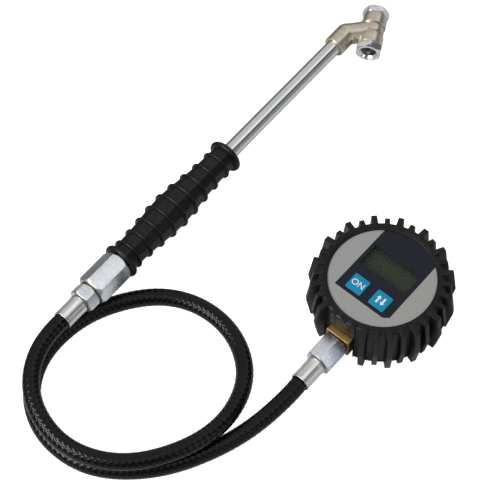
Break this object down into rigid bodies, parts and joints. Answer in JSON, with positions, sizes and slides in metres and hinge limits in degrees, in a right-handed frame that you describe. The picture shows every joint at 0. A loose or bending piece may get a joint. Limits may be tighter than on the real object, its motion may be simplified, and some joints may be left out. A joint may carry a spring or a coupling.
{
  "type": "tire pressure gauge",
  "caption": "Digital tire pressure gauge in a lugged rubber boot, on a short hose to a hand lance with a two-foot valve chuck.",
  "frame": {"origin": "centre of the gauge boot's flat back ring, which rests on the table", "axes": "+Z out of the gauge's face, +Y towards the top of the face, hose leaving the gauge along -Y"},
  "size_m": [0.1758, 0.339, 0.0349],
  "materials": {
    "boot_rubber": "moulded rubber, satin with a grey bloom",
    "case_plastic": "fine moulded texture",
    "label": "printed film, grey with a dark panel",
    "window": "clear gloss",
    "display": "dark olive liquid crystal panel",
    "board": "green solder mask",
    "switch": "moulded",
    "key_plastic": "blue film, satin",
    "soft_seal": "smooth rubber",
    "brass": "machined, slightly dull",
    "screw_steel": "bright plated",
    "red_washer": "bonded fibre seal, dark red",
    "zinc_steel": "zinc plated, mottled",
    "ferrule_steel": "bright zinc, crimped",
    "hose_rubber": "glossy cover over braid",
    "grip_rubber": "moulded, satin",
    "chrome_rod": "drawn and plated, lengthwise streaks",
    "nickel_brass": "nickel plated forging, satin and warm",
    "chrome_cap": "polished plate",
    "spring_steel": "drawn wire"
  },
  "bodies": {
    "gauge": {"rubber_boot": "boot_rubber", "case_body": "case_plastic", "front_bezel": "case_plastic", "face_label": "label", "display_window": "window", "display_panel": "display", "display_frame": "case_plastic", "display_connector": "soft_seal", "circuit_board": "board", "board_screws": "screw_steel", "on_switch": "switch", "unit_switch": "switch", "pressure_sensor": "screw_steel", "sensor_oring": "soft_seal", "brass_stem": "brass", "stem_screws": "screw_steel", "battery_holder": "case_plastic", "battery_contact": "brass", "coin_cell": "screw_steel", "battery_door": "case_plastic", "case_screws": "screw_steel", "gauge_washer": "red_washer", "gauge_hose_tail": "zinc_steel", "gauge_ferrule": "ferrule_steel", "gauge_hose_end": "hose_rubber", "hose": "hose_rubber", "handle_hose_end": "hose_rubber", "handle_ferrule": "ferrule_steel", "handle_hose_tail": "zinc_steel", "handle_washer": "brass", "coupling": "zinc_steel", "grip": "grip_rubber", "rod": "chrome_rod", "chuck_body": "nickel_brass", "front_cap": "chrome_cap", "front_seal": "soft_seal", "front_guide": "brass", "front_spring": "spring_steel", "rear_cap": "chrome_cap", "rear_seal": "soft_seal", "rear_guide": "brass", "rear_spring": "spring_steel"},
    "on_key": {"on_key": "key_plastic"},
    "unit_key": {"unit_key": "key_plastic"},
    "front_pin": {"front_pin": "brass"},
    "rear_pin": {"rear_pin": "brass"}
  },
  "joints": [
    {"name": "on_key_press", "type": "slide", "parent": "gauge", "child": "on_key", "axis": [0, 0, -1], "range_m": [0, 0.0005], "stiffness_N_per_m": 1500, "springref_m": -0.0002},
    {"name": "unit_key_press", "type": "slide", "parent": "gauge", "child": "unit_key", "axis": [0, 0, -1], "range_m": [0, 0.0005], "stiffness_N_per_m": 1500, "springref_m": -0.0002},
    {"name": "front_pin_slide", "type": "slide", "parent": "gauge", "child": "front_pin", "axis": [0.4833, -0.8743, 0.0462], "range_m": [0, 0.0018], "stiffness_N_per_m": 800, "springref_m": -0.001, "deforming": ["front_spring"]},
    {"name": "rear_pin_slide", "type": "slide", "parent": "gauge", "child": "rear_pin", "axis": [-0.4833, 0.8743, -0.0462], "range_m": [0, 0.0018], "stiffness_N_per_m": 800, "springref_m": -0.001, "deforming": ["rear_spring"]}
  ]
}
